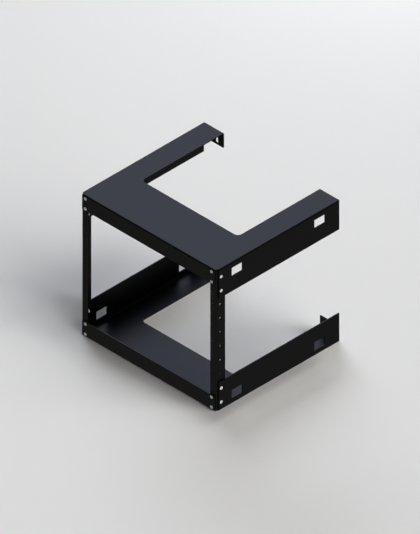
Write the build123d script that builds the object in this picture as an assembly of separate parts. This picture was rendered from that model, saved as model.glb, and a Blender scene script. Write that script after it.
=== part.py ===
"""Wall mount rack: an open frame for 19 inch equipment, 10 rack units tall with 8 left clear.

Two identical folded steel brackets, one at the top and the same part turned over at the
bottom, are joined by two vertical angle rails. The rails sit in the brackets' front corners,
behind the aprons and inside the side walls, and every joint is a screwed one.

Millimetres, +Z up, +X to the right seen from the front, front towards -Y. The frame stands
on the bottom bracket's plate at Z = 0 and is centred on X = 0 and Y = 0.
"""

import os

from build123d import *

INCH = 25.4

# The 19 inch standard: a clear opening between two rails, each with a column of tapped
# holes. A unit of height has three of them, one in its middle and one near each end.
OPENING_WIDTH = 17.75 * INCH
UNIT_HEIGHT = 44.45
UNIT_COUNT = 10
HOLE_FROM_UNIT_END = 6.35
HOLE_FROM_RAIL_EDGE = 7.125

# Sheet steel, 12 gauge; bend radii are measured outside the bend
SHEET = 2.66
BEND_RADIUS = 3.8

# The angle rails
RAIL_FRONT_WIDTH = 22.74
RAIL_SIDE_WIDTH = 32.4
RAIL_END_CLEARANCE = 0.2
RAIL_SIDE_HOLE_DIAMETER = 6.2
RAIL_SIDE_HOLE_SETBACK = 14.84

# The folded bracket. Drops are measured from the outer face of its plate.
FRAME_DEPTH = 18 * INCH
HEIGHT_MARGIN = 3.175
BAND_DEPTH = 6 * INCH
ARM_WIDTH = 2.875 * INCH
NOTCH_RADIUS = 12.7
APRON_UNIT_COUNT = 1
WALL_UNIT_COUNT = 2
TAB_DROP = 47.625
APRON_END_RELIEF = 6.35
WALL_SETBACK = 9
FREE_CORNER_RADIUS = 1.2
WINDOW_LENGTH = 39
WINDOW_HEIGHT = 26.2
WINDOW_DROP = 30.6
WINDOW_SPACING = 12 * INCH
KEYHOLE_HEAD_DIAMETER = 10.7
KEYHOLE_SLOT_WIDTH = 7.4
KEYHOLE_DROP = 36.85
KEYHOLE_TRAVEL = 11.1
KEYHOLE_FROM_SIDE = 48.8

# Number 10 screws with 32 threads to the inch, and their flange nuts. Threads are left out:
# a shank is as thick as its thread's root, and a tapped hole as wide as its drill.
THREAD_ROOT_DIAMETER = 3.94
THREAD_CLEARANCE = 0.1
BRACKET_HOLE_DIAMETER = 5.5
HEAD_DIAMETER = 9.4
HEAD_HEIGHT = 1.8
HEAD_CHAMFER = 0.7
FRONT_SCREW_LENGTH = 9.525
SIDE_SCREW_LENGTH = 15.875
SCREW_TIP_CHAMFER = 0.5
NUT_ACROSS_FLATS = 9.525
NUT_HEIGHT = 5
NUT_FLANGE_DIAMETER = 15.5
NUT_FLANGE_RIM = 0.8
NUT_FLANGE_HEIGHT = 1.8

# Places worked out from the sizes above
frame_width = OPENING_WIDTH + 2 * (RAIL_FRONT_WIDTH + SHEET)
frame_height = UNIT_COUNT * UNIT_HEIGHT + 2 * HEIGHT_MARGIN
side_x = frame_width / 2
front_y = HEAD_HEIGHT / 2 - FRAME_DEPTH / 2
rear_y = front_y + FRAME_DEPTH
rail_side_x = side_x - SHEET
rail_front_y = front_y + SHEET
tapped_hole_x = OPENING_WIDTH / 2 + HOLE_FROM_RAIL_EDGE
side_hole_y = rail_front_y + RAIL_SIDE_HOLE_SETBACK
tapped_diameter = THREAD_ROOT_DIAMETER + THREAD_CLEARANCE
apron_drop = HEIGHT_MARGIN + APRON_UNIT_COUNT * UNIT_HEIGHT
wall_drop = HEIGHT_MARGIN + WALL_UNIT_COUNT * UNIT_HEIGHT

unit_hole_heights = (HOLE_FROM_UNIT_END, UNIT_HEIGHT / 2, UNIT_HEIGHT - HOLE_FROM_UNIT_END)
unit_bottoms = [HEIGHT_MARGIN + unit * UNIT_HEIGHT for unit in range(UNIT_COUNT)]
# Screw heights in the top bracket: its apron takes the outer two holes of the last unit,
# its side walls the side holes of the units beside them
apron_screw_heights = [unit_bottoms[-1] + height for height in unit_hole_heights[::2]]
wall_screw_heights = [bottom + UNIT_HEIGHT / 2 for bottom in unit_bottoms[-WALL_UNIT_COUNT:]]

UP = (0, 0, 1)
ALONG_X = Rot(0, 90, 0)
ALONG_Y = Rot(90, 0, 0)


def angle_section(leg, flange):
    """Face of a folded corner: the leg runs along +X, the flange along -Y, the corner at 0, 0."""
    section = make_face(
        Polyline(
            (0, 0), (leg, 0), (leg, -SHEET), (SHEET, -SHEET), (SHEET, -flange), (0, -flange), close=True
        )
    )
    section = fillet(section.vertices().sort_by_distance((0, 0, 0))[0], BEND_RADIUS)
    return fillet(section.vertices().sort_by_distance((SHEET, -SHEET, 0))[0], BEND_RADIUS - SHEET)


def folded_flange(edge_middle, inward, length, drop):
    """A flange with its bend, folded down from an edge of the plate, which lies inward of it."""
    plane = Plane(origin=edge_middle, x_dir=inward, z_dir=Vector(inward).cross(Vector(UP)))
    strip = extrude(plane * angle_section(BEND_RADIUS, drop), length / 2, both=True)
    free_corners = strip.edges().filter_by(Axis(edge_middle, inward)).group_by(Axis.Z)[0]
    return fillet(free_corners, FREE_CORNER_RADIUS)


def plate():
    """The flat of the bracket: a front band with two arms, as far as the lines where bends start."""
    flat_x = side_x - BEND_RADIUS
    flat_front_y = front_y + BEND_RADIUS
    flat_rear_y = rear_y - BEND_RADIUS
    notch_x = side_x - ARM_WIDTH
    notch_y = front_y + BAND_DEPTH
    right_half = [
        (side_x - APRON_END_RELIEF, flat_front_y),
        (flat_x, front_y + WALL_SETBACK),
        (flat_x, flat_rear_y),
        (notch_x, flat_rear_y),
        (notch_x, notch_y),
    ]
    left_half = [(-x, y) for x, y in reversed(right_half)]
    outline = make_face(Polyline(*right_half, *left_half, close=True))
    notch_corners = [v for v in outline.vertices() if abs(v.Y - notch_y) < SHEET and abs(v.X) < flat_x]
    outline = fillet(notch_corners, NOTCH_RADIUS)
    return extrude(Pos(0, 0, frame_height - SHEET) * outline, SHEET)


def hole(x, y, z, direction, diameter):
    """Cutter for a round hole through the sheet whose face the point lies on."""
    return Pos(x, y, z) * direction * Cylinder(diameter / 2, 4 * SHEET)


def side_wall(side):
    """One side wall of the top bracket, with its two windows and its screw holes."""
    wall_front_y = front_y + WALL_SETBACK
    wall_rear_y = rear_y - BEND_RADIUS
    edge_middle = (side * side_x, (wall_front_y + wall_rear_y) / 2, frame_height)
    wall = folded_flange(edge_middle, (-side, 0, 0), wall_rear_y - wall_front_y, wall_drop)
    middle_y = front_y + FRAME_DEPTH / 2
    for y in (middle_y - WINDOW_SPACING / 2, middle_y + WINDOW_SPACING / 2):
        wall -= Pos(side * side_x, y, frame_height - WINDOW_DROP) * Box(
            4 * SHEET, WINDOW_LENGTH, WINDOW_HEIGHT
        )
    for z in wall_screw_heights:
        wall -= hole(side * side_x, side_hole_y, z, ALONG_X, BRACKET_HOLE_DIAMETER)
    return wall


def apron():
    """The front apron of the top bracket, which hides the last rack unit."""
    strip = folded_flange(
        (0, front_y, frame_height), (0, 1, 0), frame_width - 2 * APRON_END_RELIEF, apron_drop
    )
    for x in (-tapped_hole_x, tapped_hole_x):
        for z in apron_screw_heights:
            strip -= hole(x, front_y, z, ALONG_Y, BRACKET_HOLE_DIAMETER)
    return strip


def rear_tab(side):
    """The tab at one arm's end, with a keyhole whose slot runs up from the round hole."""
    tab_width = ARM_WIDTH - BEND_RADIUS
    tab_x = side * (side_x - BEND_RADIUS - tab_width / 2)
    tab = folded_flange((tab_x, rear_y, frame_height), (0, -1, 0), tab_width, TAB_DROP)
    keyhole = Circle(KEYHOLE_HEAD_DIAMETER / 2)
    keyhole += Pos(0, KEYHOLE_TRAVEL / 2) * Rectangle(KEYHOLE_SLOT_WIDTH, KEYHOLE_TRAVEL)
    keyhole += Pos(0, KEYHOLE_TRAVEL) * Circle(KEYHOLE_SLOT_WIDTH / 2)
    keyhole_x = side * (side_x - KEYHOLE_FROM_SIDE)
    cutter = extrude(Plane.XZ * keyhole, 2 * SHEET, both=True)
    return tab - Pos(keyhole_x, rear_y, frame_height - KEYHOLE_DROP) * cutter


def top_bracket():
    """The upper bracket, folded from one sheet: plate, apron, side walls and rear tabs."""
    bracket = plate() + apron()
    for side in (-1, 1):
        bracket += side_wall(side) + rear_tab(side)
    return bracket


def rail(side):
    """A vertical angle: its front flange carries the equipment, its side flange the side screws."""
    bottom_z = BEND_RADIUS + RAIL_END_CLEARANCE
    plane = Plane(
        origin=(side * rail_side_x, rail_front_y, bottom_z), x_dir=(-side, 0, 0), z_dir=(0, 0, side)
    )
    section = plane * angle_section(RAIL_FRONT_WIDTH, RAIL_SIDE_WIDTH)
    angle = extrude(section, frame_height - 2 * bottom_z, dir=UP)
    for unit_z in unit_bottoms:
        for height in unit_hole_heights:
            angle -= hole(side * tapped_hole_x, rail_front_y, unit_z + height, ALONG_Y, tapped_diameter)
        middle_z = unit_z + UNIT_HEIGHT / 2
        angle -= hole(side * rail_side_x, side_hole_y, middle_z, ALONG_X, RAIL_SIDE_HOLE_DIAMETER)
    return angle


def screw(length):
    """A pan head screw on Z: its head stands on Z = 0 and its shank points down."""
    head = extrude(Circle(HEAD_DIAMETER / 2), HEAD_HEIGHT)
    head = chamfer(head.edges().group_by(Axis.Z)[-1], HEAD_CHAMFER)
    shank = extrude(Circle(THREAD_ROOT_DIAMETER / 2), -length)
    shank = chamfer(shank.edges().group_by(Axis.Z)[0], SCREW_TIP_CHAMFER)
    return head + shank


def flange_nut():
    """A hexagon nut on Z with a washer face that stands on Z = 0."""
    rim = extrude(Circle(NUT_FLANGE_DIAMETER / 2), NUT_FLANGE_RIM)
    slope_height = NUT_FLANGE_HEIGHT - NUT_FLANGE_RIM
    slope = Pos(0, 0, NUT_FLANGE_RIM + slope_height / 2) * Cone(
        NUT_FLANGE_DIAMETER / 2, NUT_ACROSS_FLATS / 2, slope_height
    )
    hexagon = extrude(RegularPolygon(NUT_ACROSS_FLATS / 2, 6, major_radius=False), NUT_HEIGHT)
    return rim + slope + hexagon - Cylinder(tapped_diameter / 2, 4 * NUT_HEIGHT)


def seat(point, outward):
    """A plane at the point whose normal points outward, for a screw or nut to stand on."""
    return Plane(origin=point, x_dir=UP, z_dir=outward)


def save(name, shape):
    """Write one piece as parts/NAME.step."""
    shape.label = name
    export_step(shape, f"parts/{name}.step")


def main():
    """Build every piece in its place and write it."""
    os.makedirs("parts", exist_ok=True)
    upper = top_bracket()
    turned_over = upper.rotate(Axis((0, 0, frame_height / 2), (0, 1, 0)), 180)
    save("top_bracket", upper)
    save("bottom_bracket", turned_over)

    front_screw = screw(FRONT_SCREW_LENGTH)
    side_screw = screw(SIDE_SCREW_LENGTH)
    nut = flange_nut()
    # Screws are numbered from the floor up, the bottom bracket's first
    front_heights = sorted([frame_height - z for z in apron_screw_heights] + apron_screw_heights)
    wall_heights = sorted([frame_height - z for z in wall_screw_heights] + wall_screw_heights)
    for side, word in ((-1, "left"), (1, "right")):
        save(f"{word}_rail", rail(side))
        for number, z in enumerate(front_heights, 1):
            apron_face = seat((side * tapped_hole_x, front_y, z), (0, -1, 0))
            save(f"{word}_front_screw_{number}", apron_face * front_screw)
        for number, z in enumerate(wall_heights, 1):
            wall_face = seat((side * side_x, side_hole_y, z), (side, 0, 0))
            rail_back = seat((side * (rail_side_x - SHEET), side_hole_y, z), (-side, 0, 0))
            save(f"{word}_side_screw_{number}", wall_face * side_screw)
            save(f"{word}_side_nut_{number}", rail_back * nut)


main()
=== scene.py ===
"""Looks of the wall mount rack: powder coated sheet steel, zinc plated screws, a pale studio.

Metres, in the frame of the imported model: +X to the right seen from the front, front towards
-Y, +Z up, the floor at Z = 0.
"""

import math

import bmesh
import bpy
from mathutils import Matrix, Vector


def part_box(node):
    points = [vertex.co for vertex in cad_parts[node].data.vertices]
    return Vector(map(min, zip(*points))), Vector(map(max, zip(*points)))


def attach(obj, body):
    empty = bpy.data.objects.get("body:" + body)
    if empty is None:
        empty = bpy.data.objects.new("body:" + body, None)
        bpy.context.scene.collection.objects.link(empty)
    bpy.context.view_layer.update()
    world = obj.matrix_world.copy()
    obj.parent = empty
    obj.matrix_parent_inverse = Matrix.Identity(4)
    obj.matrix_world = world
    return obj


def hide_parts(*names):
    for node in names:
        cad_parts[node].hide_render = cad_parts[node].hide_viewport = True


MM = 0.001

# The photograph's camera is orthographic and looks along the diagonal of a cube. The front
# right top corner of the sheet metal lies at this pixel of the 420 x 534 image.
IMAGE_WIDTH, IMAGE_HEIGHT = 420, 534
PIXELS_PER_METRE = 383.56
CORNER_PIXEL = (216.39, 271.46)
CAMERA_DISTANCE = 4

# The studio. Softboxes in a dark sky and a fill behind on the left light the floor. Glossy surfaces
# show even cards of light in their place: a cool one high behind on the left, a dim one high behind on
# the right, two under the floor, and two that only show from behind. Azimuth runs from +X towards +Y.
# It and the softboxes' other angles are in degrees.
WARM, COOL = (1.03, 1.01, 0.97), (0.955, 0.985, 1.06)
SOFTBOX_HALF_ANGLE, SOFTBOX_SOFT_EDGE = 16, 9
SOFTBOXES = (
    {"azimuth": 30, "elevation": 4, "colour": WARM, "strength": 18.4},
    {"azimuth": 0, "elevation": 4, "colour": WARM, "strength": 14.3},
    {"azimuth": 0, "elevation": 50, "colour": WARM, "strength": 2.2},
    {"azimuth": 150, "elevation": 18, "colour": COOL, "strength": 10.1},
    {"azimuth": 120, "elevation": 4, "colour": COOL, "strength": 3.4},
)
FILL = {"towards": (-1.2, 2.08, 0.8), "distance": 2.53, "side": 0.8, "radiance": 3.2, "colour": COOL}
CARDS = (
    {"towards": (-1, 1, 1.1), "distance": 3, "side": 3.6, "radiance": 3.65, "colour": (0.92, 0.98, 1.25)},
    {"towards": (1, 1, 1), "distance": 3, "side": 2.4, "radiance": 0.9, "colour": (0.95, 0.98, 1.1)},
    {"towards": (1, -1, -1), "distance": 2, "side": 1.8, "radiance": 1.3, "colour": (1, 1, 1)},
    {"towards": (0, 0, -1), "distance": 1.5, "side": 10, "radiance": 0.54, "colour": (1.01, 1.01, 0.98)},
    {"towards": (1, -1, 0.5), "distance": 3, "side": 2.4, "radiance": 1.6, "colour": (0.96, 0.98, 1.1)},
    {"towards": (-1, -1, 0.2), "distance": 4, "side": 2.4, "radiance": 0.7, "colour": (1, 1, 1)},
)

# Flags are dark cards out of sight that shade the floor: beside the lower left corner, low in front of
# the right wall, and behind that wall's two lower windows. The ends of a flag's lower edge are points
# of the floor plan, and its upper edge may lean out along +X.
FLAGS = (
    {"ends": ((-0.297, -0.028), (-0.483, -0.102)), "bottom": 0.035, "top": 0.1},
    {"ends": ((0.315, -0.26), (0.315, 0.14)), "bottom": 0.013, "top": 0.03, "lean": 0.014},
    {"ends": ((0.195, -0.135), (0.243, -0.087)), "bottom": 0.012, "top": 0.09},
    {"ends": ((0.195, 0.17), (0.243, 0.218)), "bottom": 0.012, "top": 0.09},
)

# Screws and nuts. Their turns are angles in radians.
HEAD_RADIUS = 4.7 * MM
HEAD_HEIGHT = 1.8 * MM
HEAD_RIM = 0.5 * MM
HEAD_ROUNDNESS = 2.1
RECESS_REACH = 2.3 * MM
RECESS_ARM = 0.62 * MM
RECESS_DEPTH = 1.4 * MM
RECESS_STRAIGHT_DEPTH = 0.3 * MM
RECESS_TAPER = 0.45
THREAD_RADIUS = 2.41 * MM
THREAD_DEPTH = 0.45 * MM
THREAD_PITCH = 25.4 / 32 * MM
FRONT_SHANK = 9.525 * MM
SIDE_SHANK = 15.875 * MM
TIP_LENGTH = 0.9 * MM
TIP_SCALE = 0.72
THREAD_STEPS_PER_TURN = 6
TURN_PER_SCREW = 0.9
TURN_PER_SIDE = 0.5
NUT_FLATS_RADIUS = 9.525 / 2 * MM
NUT_HEIGHT = 5 * MM
NUT_FLANGE_RADIUS = 7.75 * MM
NUT_FLANGE_RIM = 0.8 * MM
NUT_FLANGE_HEIGHT = 1.8 * MM
NUT_BORE_RADIUS = 2.46 * MM
NUT_BORE_CHAMFER = 0.3 * MM
NUT_EDGE_BREAK = 0.15 * MM
NUT_CHAMFER = 0.48 * MM
NUT_FACE_RADIUS = 0.95 * NUT_FLATS_RADIUS
HEAD_SEGMENTS = 48
SHANK_SEGMENTS = 24
NUT_SEGMENTS = 72


class Nodes:
    """Shorthand for building one node tree."""

    def __init__(self, tree):
        self.tree = tree
        tree.nodes.clear()

    def add(self, kind, inputs=None, **settings):
        """A shader node with its settings made and its inputs set or linked."""
        node = self.tree.nodes.new("ShaderNode" + kind)
        for name, value in settings.items():
            setattr(node, name, value)
        for name, value in (inputs or {}).items():
            self.set(node, name, value)
        return node

    def set(self, node, name, value):
        socket = node.inputs[name]
        if isinstance(value, bpy.types.NodeSocket):
            self.tree.links.new(value, socket)
        else:
            socket.default_value = value

    def ramp(self, factor, *stops):
        """A colour ramp from (position, colour) stops."""
        node = self.add("ValToRGB", {"Fac": factor})
        elements = node.color_ramp.elements
        while len(elements) < len(stops):
            elements.new(0.5)
        for element, (position, colour) in zip(elements, stops):
            element.position = position
            element.color = (*colour, 1)
        return node.outputs["Color"]


def powder_coat(name, colour, roughness):
    """Black textured powder coat: fine orange peel, faint cloudiness, a satin sheen."""
    material = bpy.data.materials.new(name)
    material.use_nodes = True
    nodes = Nodes(material.node_tree)
    place = nodes.add("TexCoord").outputs["Object"]
    peel = nodes.add("TexNoise", {"Vector": place, "Scale": 900.0, "Detail": 3.0, "Roughness": 0.6})
    grain = nodes.add("TexVoronoi", {"Vector": place, "Scale": 1500.0})
    cloud = nodes.add("TexNoise", {"Vector": place, "Scale": 14.0, "Detail": 4.0})
    dark = tuple(0.8 * channel for channel in colour)
    light = tuple(1.2 * channel for channel in colour)
    base = nodes.ramp(cloud.outputs["Fac"], (0.3, dark), (0.7, light))
    rough = nodes.add(
        "MapRange",
        {"Value": peel.outputs["Fac"], "To Min": roughness - 0.05, "To Max": roughness + 0.05},
    )
    coarse = nodes.add("Bump", {"Height": peel.outputs["Fac"], "Strength": 0.12, "Distance": 0.05 * MM})
    fine = nodes.add(
        "Bump",
        {
            "Height": grain.outputs["Distance"],
            "Strength": 0.08,
            "Distance": 0.03 * MM,
            "Normal": coarse.outputs["Normal"],
        },
    )
    shader = nodes.add(
        "BsdfPrincipled",
        {
            "Base Color": base,
            "Roughness": rough.outputs["Result"],
            "IOR": 1.5,
            "Specular IOR Level": 0.07,
            "Normal": fine.outputs["Normal"],
        },
    )
    nodes.add("OutputMaterial", {"Surface": shader.outputs["BSDF"]})
    return material


def zinc_plate():
    """Bright zinc plating: a slightly mottled metal with turning marks."""
    material = bpy.data.materials.new("zinc_plate")
    material.use_nodes = True
    nodes = Nodes(material.node_tree)
    place = nodes.add("TexCoord").outputs["Object"]
    mottle = nodes.add("TexNoise", {"Vector": place, "Scale": 700.0, "Detail": 3.0})
    scratches = nodes.add("TexNoise", {"Vector": place, "Scale": 4000.0, "Detail": 2.0})
    base = nodes.ramp(mottle.outputs["Fac"], (0.3, (0.44, 0.45, 0.48)), (0.7, (0.55, 0.55, 0.54)))
    rough = nodes.add("MapRange", {"Value": mottle.outputs["Fac"], "To Min": 0.26, "To Max": 0.42})
    bump = nodes.add(
        "Bump", {"Height": scratches.outputs["Fac"], "Strength": 0.1, "Distance": 0.02 * MM}
    )
    shader = nodes.add(
        "BsdfPrincipled",
        {
            "Base Color": base,
            "Metallic": 0.5,
            "Roughness": rough.outputs["Result"],
            "Normal": bump.outputs["Normal"],
        },
    )
    nodes.add("OutputMaterial", {"Surface": shader.outputs["BSDF"]})
    return material


def paint(obj, material):
    """Give an object one material, whatever slots it came with."""
    obj.data.materials.clear()
    obj.data.materials.append(material)


def object_from(name, data):
    """A new object in the scene with this mesh, light or camera."""
    obj = bpy.data.objects.new(name, data)
    bpy.context.scene.collection.objects.link(obj)
    return obj


def turned(name, rings, segments, ring_closed=False):
    """A solid around Z, capped at its ends or closed into a ring.

    It runs through rings of (height, radius). A radius is a function of the angle, and a height may be.
    """
    mesh = bpy.data.meshes.new(name)
    work = bmesh.new()
    loops = []
    for height, radius in rings:
        loop = []
        for step in range(segments):
            angle = 2 * math.pi * step / segments
            r, z = radius(angle), height(angle) if callable(height) else height
            loop.append(work.verts.new((r * math.cos(angle), r * math.sin(angle), z)))
        loops.append(loop)
    pairs = list(zip(loops, loops[1:] + loops[:1])) if ring_closed else list(zip(loops, loops[1:]))
    for lower, upper in pairs:
        for step in range(segments):
            after = (step + 1) % segments
            work.faces.new((lower[step], lower[after], upper[after], upper[step]))
    if not ring_closed:
        work.faces.new(reversed(loops[0]))
        work.faces.new(loops[-1])
    bmesh.ops.recalc_face_normals(work, faces=work.faces)
    work.to_mesh(mesh)
    work.free()
    return mesh


def shade(mesh, sharp_angle=0.6):
    """Smooth shading with edges kept sharp where faces meet at more than the angle, in radians."""
    mesh.shade_smooth()
    work = bmesh.new()
    work.from_mesh(mesh)
    for edge in work.edges:
        edge.smooth = edge.calc_face_angle(math.pi) < sharp_angle
    work.to_mesh(mesh)
    work.free()


def recess_cutter():
    """The cross recess of a screw head: two crossed arms that taper to the bottom."""
    arm, reach = RECESS_ARM, RECESS_REACH
    quarter = [(reach, -arm), (reach, arm), (arm, arm)]
    outline = []
    for turn in range(4):
        rotation = Matrix.Rotation(turn * math.pi / 2, 2)
        outline += [rotation @ Vector(point) for point in quarter]
    clear_of_head = HEAD_HEIGHT + 0.5 * MM
    levels = (
        (clear_of_head, 1.0),
        (HEAD_HEIGHT - RECESS_STRAIGHT_DEPTH, 1.0),
        (HEAD_HEIGHT - RECESS_DEPTH, RECESS_TAPER),
    )
    work = bmesh.new()
    loops = [[work.verts.new((*(point * scale), z)) for point in outline] for z, scale in levels]
    count = len(outline)
    for upper, lower in zip(loops, loops[1:]):
        for step in range(count):
            after = (step + 1) % count
            work.faces.new((upper[step], upper[after], lower[after], lower[step]))
    work.faces.new(loops[0])
    work.faces.new(loops[-1])
    bmesh.ops.triangulate(work, faces=[face for face in work.faces if len(face.verts) > 4])
    bmesh.ops.recalc_face_normals(work, faces=work.faces)
    mesh = bpy.data.meshes.new("recess")
    work.to_mesh(mesh)
    work.free()
    return mesh


def round_radius(radius):
    """The same radius at every angle."""
    return lambda angle: radius


def pan_head():
    """The screw's head with its cross recess, standing on Z = 0."""
    rings = [(0, round_radius(HEAD_RADIUS)), (HEAD_RIM, round_radius(HEAD_RADIUS))]
    dome = HEAD_HEIGHT - HEAD_RIM
    power = 2 / HEAD_ROUNDNESS
    steps = 10
    for step in range(1, steps):
        angle = step / steps * math.pi / 2
        height = HEAD_RIM + dome * math.sin(angle) ** power
        rings.append((height, round_radius(HEAD_RADIUS * math.cos(angle) ** power)))
    head = object_from("head_blank", turned("head_blank", rings, HEAD_SEGMENTS))
    cutter = object_from("recess", recess_cutter())
    cut = head.modifiers.new("recess", "BOOLEAN")
    cut.object = cutter
    cut.solver = "EXACT"
    mesh = bpy.data.meshes.new_from_object(head.evaluated_get(bpy.context.evaluated_depsgraph_get()))
    for helper in (head, cutter):
        bpy.data.objects.remove(helper)
    return mesh


def thread_radius(z, angle):
    """Radius of a right-hand thread at a height and an angle."""
    turn = (z / THREAD_PITCH - angle / (2 * math.pi)) % 1
    return THREAD_RADIUS - THREAD_DEPTH * abs(2 * turn - 1)


def shank(length):
    """The threaded shank, hanging from Z = 0, with its tip tapered."""
    rings = []
    steps = math.ceil(length / THREAD_PITCH * THREAD_STEPS_PER_TURN)
    for step in range(steps + 1):
        z = -length * step / steps
        tip = min(1, TIP_SCALE + (1 - TIP_SCALE) * (length + z) / TIP_LENGTH)
        rings.append((z, lambda angle, z=z, tip=tip: tip * thread_radius(z, angle)))
    return turned("shank", rings, SHANK_SEGMENTS)


def screw_mesh(name, length):
    """One mesh of head and shank."""
    work = bmesh.new()
    for part in (pan_head(), shank(length)):
        work.from_mesh(part)
    mesh = bpy.data.meshes.new(name)
    work.to_mesh(mesh)
    work.free()
    shade(mesh)
    return mesh


def hexagon_radius(angle):
    """Radius of the nut's hexagon at an angle."""
    sector = math.pi / 3
    return NUT_FLATS_RADIUS / math.cos((angle + sector / 2) % sector - sector / 2)


def nut_mesh():
    """A flange nut that stands on Z = 0, with its corners chamfered at the top."""
    corner_radius = NUT_FLATS_RADIUS * 2 / math.sqrt(3)
    chamfer_slope = NUT_CHAMFER / (corner_radius - NUT_FLATS_RADIUS)
    flange_slope = (NUT_FLANGE_HEIGHT - NUT_FLANGE_RIM) / (NUT_FLANGE_RADIUS - NUT_FLATS_RADIUS)

    def flange_top(angle):
        return NUT_FLANGE_RIM + flange_slope * (NUT_FLANGE_RADIUS - hexagon_radius(angle))

    def chamfer_start(angle):
        return NUT_HEIGHT - chamfer_slope * (hexagon_radius(angle) - NUT_FACE_RADIUS)

    rings = [
        (0, round_radius(NUT_FLANGE_RADIUS - NUT_EDGE_BREAK)),
        (NUT_EDGE_BREAK, round_radius(NUT_FLANGE_RADIUS)),
        (NUT_FLANGE_RIM, round_radius(NUT_FLANGE_RADIUS)),
        (flange_top, hexagon_radius),
        (chamfer_start, hexagon_radius),
        (NUT_HEIGHT, round_radius(NUT_FACE_RADIUS)),
        (NUT_HEIGHT, round_radius(NUT_BORE_RADIUS + NUT_BORE_CHAMFER)),
        (NUT_HEIGHT - NUT_BORE_CHAMFER, round_radius(NUT_BORE_RADIUS)),
        (NUT_BORE_CHAMFER, round_radius(NUT_BORE_RADIUS)),
        (0, round_radius(NUT_BORE_RADIUS + NUT_BORE_CHAMFER)),
    ]
    mesh = turned("nut", rings, NUT_SEGMENTS, ring_closed=True)
    shade(mesh)
    return mesh


def fit_on(node, mesh, outward, height, turn, material):
    """Put a fastener's mesh where its CAD node is and let it stand for the node.

    It faces outward, and the height is how far it rises above its seat.
    """
    low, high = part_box(node)
    towards = Vector(outward)
    outer = (low + high) / 2 + towards * abs(towards.dot(high - low)) / 2
    seat = outer - towards * height
    facing = towards.to_track_quat("Z", "Y").to_matrix().to_4x4()
    piece = object_from(f"{node}_detailed", mesh)
    piece.matrix_world = Matrix.Translation(seat) @ facing @ Matrix.Rotation(turn, 4, "Z")
    paint(piece, material)
    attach(piece, "root")
    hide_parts(node)


def fasteners(material):
    """Every screw and nut, each turned by its own amount, as tightened by hand."""
    front_screw = screw_mesh("front_screw", FRONT_SHANK)
    side_screw = screw_mesh("side_screw", SIDE_SHANK)
    nut = nut_mesh()
    for side, word in ((-1, "left"), (1, "right")):
        for number in range(1, 5):
            turn = TURN_PER_SCREW * number + TURN_PER_SIDE * side
            node = f"{word}_front_screw_{number}"
            fit_on(node, front_screw, (0, -1, 0), HEAD_HEIGHT, turn, material)
            node = f"{word}_side_screw_{number}"
            fit_on(node, side_screw, (side, 0, 0), HEAD_HEIGHT, 2 * turn, material)
            node = f"{word}_side_nut_{number}"
            fit_on(node, nut, (-side, 0, 0), NUT_HEIGHT, turn, material)


def sheet_metal(frame):
    """Finish of the four sheet metal pieces, which keep their CAD shape."""
    bracket_coat = powder_coat("bracket_coat", (0.0002, 0.0002, 0.0003), 0.4)
    rail_coat = powder_coat("rail_coat", (0.0002, 0.0002, 0.0002), 0.42)
    for node in ("top_bracket", "bottom_bracket"):
        paint(frame["nodes"][node], bracket_coat)
    for node in ("left_rail", "right_rail"):
        paint(frame["nodes"][node], rail_coat)


def flat_piece(name, corners, material):
    """A flat piece of the studio, given by its four corners."""
    mesh = bpy.data.meshes.new(name)
    mesh.from_pydata(corners, [], [(0, 1, 2, 3)])
    piece = object_from(name, mesh)
    paint(piece, material)
    piece.visible_glossy = False
    return piece


def matt(name, grey):
    """A matt grey surface of the studio."""
    material = bpy.data.materials.new(name)
    material.use_nodes = True
    nodes = Nodes(material.node_tree)
    shader = nodes.add(
        "BsdfPrincipled",
        {"Base Color": (grey, grey, grey, 1), "Roughness": 1.0, "Specular IOR Level": 0.0},
    )
    nodes.add("OutputMaterial", {"Surface": shader.outputs["BSDF"]})
    return material


def floor():
    """A wide pale floor, which casts no shadow on what lies under it."""
    half = 15
    corners = [(-half, -half, 0), (half, -half, 0), (half, half, 0), (-half, half, 0)]
    flat_piece("floor", corners, matt("studio_floor", grey=0.8)).visible_shadow = False


def flag(cloth, ends, bottom, top, lean=0):
    """A dark card that shades the floor, which the camera doesn't see."""
    (near_x, near_y), (far_x, far_y) = ends
    corners = [
        (near_x, near_y, bottom),
        (far_x, far_y, bottom),
        (far_x + lean, far_y, top),
        (near_x + lean, near_y, top),
    ]
    flat_piece("flag", corners, cloth).visible_camera = False


def flags():
    """All flags, of one cloth."""
    cloth = matt("flag_cloth", grey=0.02)
    for size in FLAGS:
        flag(cloth, **size)


def soft_patch(nodes, direction, azimuth, elevation, colour, strength):
    """Light of one round softbox in the sky, with a soft edge."""
    across, up = math.radians(azimuth), math.radians(elevation)
    centre = (math.cos(up) * math.cos(across), math.cos(up) * math.sin(across), math.sin(up))
    alignment = nodes.add("VectorMath", {0: direction, 1: centre}, operation="DOT_PRODUCT")
    inside = nodes.add(
        "MapRange",
        {
            "Value": alignment.outputs["Value"],
            "From Min": math.cos(math.radians(SOFTBOX_HALF_ANGLE + SOFTBOX_SOFT_EDGE)),
            "From Max": math.cos(math.radians(SOFTBOX_HALF_ANGLE - SOFTBOX_SOFT_EDGE)),
        },
        interpolation_type="SMOOTHSTEP",
    )
    bright = tuple(strength * channel for channel in colour)
    return nodes.add(
        "VectorMath", {0: bright, 1: inside.outputs["Result"]}, operation="MULTIPLY"
    ).outputs["Vector"]


def area_light(name, towards, distance, side, radiance, colour):
    """A square light that faces the middle of the floor and the camera doesn't see."""
    data = bpy.data.lights.new(name, "AREA")
    data.size = side
    data.color = colour
    data.energy = radiance * math.pi * side**2
    light = object_from(name, data)
    light.visible_camera = False
    direction = Vector(towards).normalized()
    light.location = direction * distance
    light.rotation_mode = "QUATERNION"
    light.rotation_quaternion = direction.to_track_quat("Z", "Y")
    return light


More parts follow.
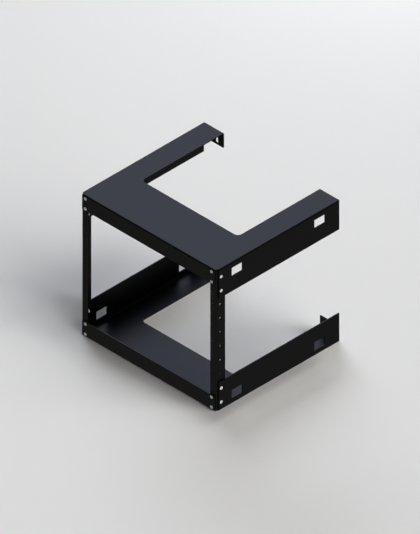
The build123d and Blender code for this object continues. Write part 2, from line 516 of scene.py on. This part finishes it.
def studio_light():
    """The softboxes and the fill, which glossy surfaces don't show, and the cards, which only they show."""
    world = bpy.data.worlds.new("studio")
    bpy.context.scene.world = world
    world.use_nodes = True
    world.cycles_visibility.glossy = False
    nodes = Nodes(world.node_tree)
    direction = nodes.add("TexCoord").outputs["Generated"]
    sky = (0.0, 0.0, 0.0)
    for softbox in SOFTBOXES:
        patch = soft_patch(nodes, direction, **softbox)
        sky = nodes.add("VectorMath", {0: sky, 1: patch}, operation="ADD").outputs["Vector"]
    height = nodes.add("SeparateXYZ", {"Vector": direction}).outputs["Z"]
    above_floor = nodes.add("Math", {0: height, 1: 0.0}, operation="GREATER_THAN").outputs["Value"]
    background = nodes.add("Background", {"Color": sky, "Strength": above_floor})
    nodes.add("OutputWorld", {"Surface": background.outputs["Background"]})

    area_light("fill", **FILL).visible_glossy = False
    for card in CARDS:
        area_light("card", **card).visible_diffuse = False


def camera():
    """The photograph's view: orthographic, from the front, the right and above in equal parts."""
    data = bpy.data.cameras.new("camera")
    data.type = "ORTHO"
    data.ortho_scale = IMAGE_HEIGHT / PIXELS_PER_METRE
    cam = object_from("camera", data)
    back = Vector((1, -1, 1)).normalized()
    right = Vector((1, 1, 0)).normalized()
    up = back.cross(right)
    low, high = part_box("top_bracket")
    corner = Vector((high.x, low.y, high.z))
    sideways = (CORNER_PIXEL[0] - IMAGE_WIDTH / 2) / PIXELS_PER_METRE
    downwards = (CORNER_PIXEL[1] - IMAGE_HEIGHT / 2) / PIXELS_PER_METRE
    cam.location = corner - right * sideways + up * downwards + back * CAMERA_DISTANCE
    cam.rotation_mode = "QUATERNION"
    cam.rotation_quaternion = back.to_track_quat("Z", "Y")
    bpy.context.scene.camera = cam


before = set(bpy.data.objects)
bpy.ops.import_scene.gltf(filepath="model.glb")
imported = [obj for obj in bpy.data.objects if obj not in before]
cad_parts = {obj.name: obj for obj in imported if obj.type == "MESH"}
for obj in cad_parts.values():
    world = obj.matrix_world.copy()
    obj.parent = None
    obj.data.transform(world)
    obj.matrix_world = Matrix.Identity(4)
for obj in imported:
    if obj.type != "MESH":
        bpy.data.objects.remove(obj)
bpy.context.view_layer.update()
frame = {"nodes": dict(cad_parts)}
sheet_metal(frame)
fasteners(zinc_plate())
floor()
flags()
studio_light()
camera()
bpy.context.scene.view_settings.view_transform = "Standard"
